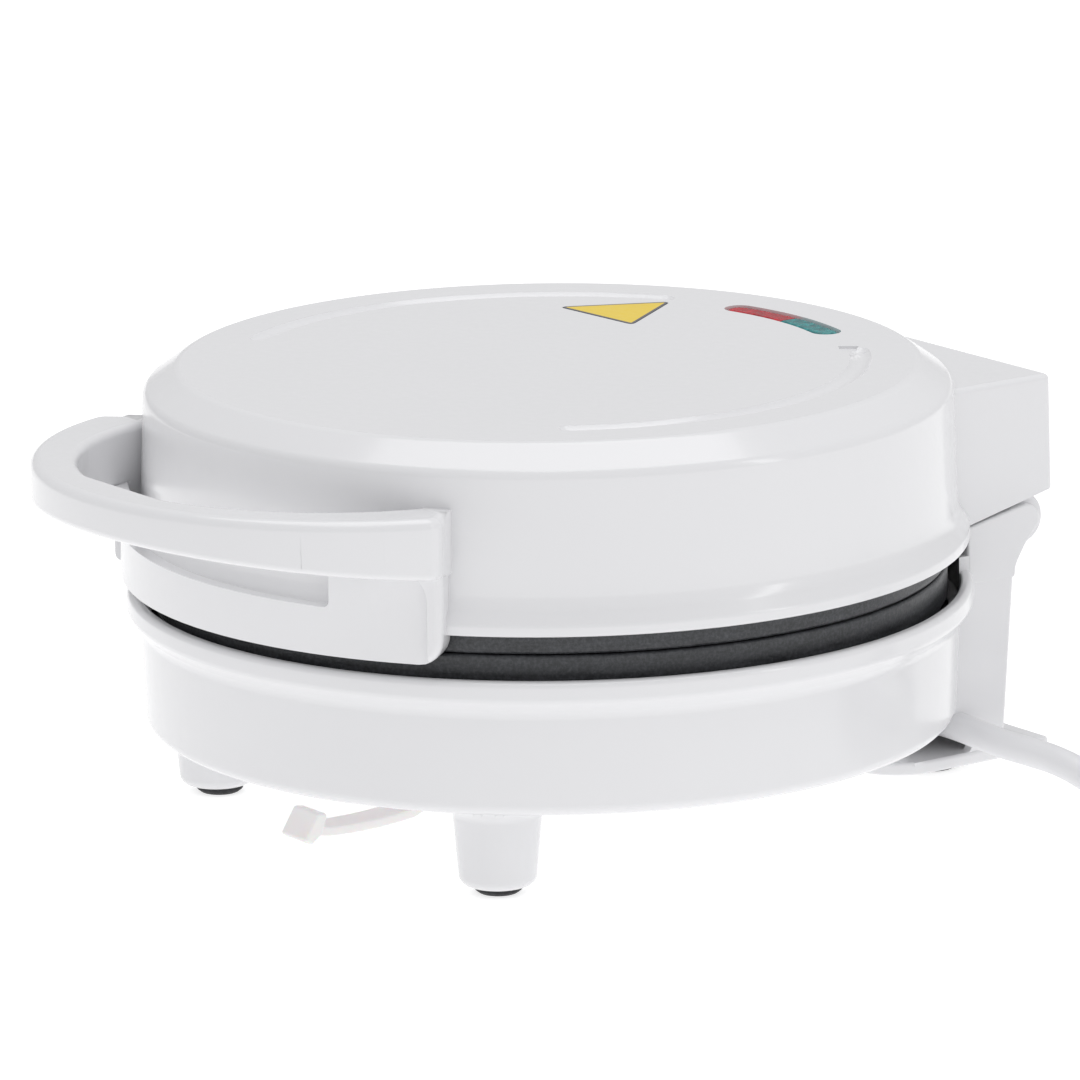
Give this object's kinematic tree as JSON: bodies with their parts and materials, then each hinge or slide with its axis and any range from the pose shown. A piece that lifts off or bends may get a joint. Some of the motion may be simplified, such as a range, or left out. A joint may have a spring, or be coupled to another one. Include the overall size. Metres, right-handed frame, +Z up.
{
  "type": "donut maker",
  "caption": "Round electric donut maker with a hinged lid, loop handle, non-stick ring-cake plates, indicator lights, rear hinge tower, conical feet and a coiled mains cord.",
  "frame": {"origin": "centre of the object's footprint box at table level, measured without the mains cord and its plug", "axes": "+Z up, +Y from the handle towards the hinge, +X towards the side where the cord leaves"},
  "size_m": [0.2953, 0.3495, 0.1071],
  "materials": {
    "white_plastic": "glossy moulded white thermoplastic",
    "non_stick": "dark grey non-stick coating on die-cast aluminium, finely speckled and slightly rough",
    "steel": "plain zinc-plated steel",
    "element_sheath": "dull stainless sheath, heat-tinted",
    "aluminium_sheet": "mill-finish pressed sheet",
    "foot_rubber": "matt black rubber",
    "ceramic": "unglazed steatite",
    "translucent_plastic": "natural milky polypropylene",
    "lamp_glass": "clear glass of a small neon lamp",
    "red_lens": "polished clear red acrylic",
    "green_lens": "polished clear blue-green acrylic",
    "yellow_label": "printed yellow film with a thin dark border, no symbol or lettering",
    "cord_jacket": "satin white flexible jacket"
  },
  "bodies": {
    "base": {"base_housing": "white_plastic", "lower_plate": "non_stick", "lower_heating_element": "element_sheath", "lower_reflector": "aluminium_sheet", "lower_reflector_screw_1": "steel", "lower_reflector_screw_2": "steel", "lower_reflector_screw_3": "steel", "base_screw_1": "steel", "base_screw_2": "steel", "base_screw_3": "steel", "thermostat": "ceramic", "thermal_fuse": "steel", "terminal_block": "ceramic", "front_foot_pad_left": "foot_rubber", "front_foot_pad_right": "foot_rubber", "rear_foot_pad_left": "foot_rubber", "rear_foot_pad_right": "foot_rubber", "hinge_pin_left": "steel", "hinge_pin_right": "steel", "cord_hook": "translucent_plastic", "cord_gland": "cord_jacket", "power_cord": "cord_jacket", "cord_coil": "cord_jacket", "cord_tail": "cord_jacket", "cord_tie": "translucent_plastic", "plug_body": "white_plastic", "plug_pin_left": "steel", "plug_pin_right": "steel"},
    "lid": {"lid_housing": "white_plastic", "upper_plate": "non_stick", "upper_heating_element": "element_sheath", "upper_reflector": "aluminium_sheet", "upper_reflector_screw_1": "steel", "upper_reflector_screw_2": "steel", "upper_reflector_screw_3": "steel", "upper_plate_screw_1": "steel", "upper_plate_screw_2": "steel", "upper_plate_screw_3": "steel", "red_lens": "red_lens", "green_lens": "green_lens", "red_lamp": "lamp_glass", "green_lamp": "lamp_glass", "lamp_holder": "ceramic", "top_label": "yellow_label"}
  },
  "joints": [
    {"name": "lid_hinge", "type": "hinge", "parent": "base", "child": "lid", "pos_m": [0, 0.11225, 0.0635], "axis": [-1, 0, 0], "range_deg": [0, 100]}
  ]
}
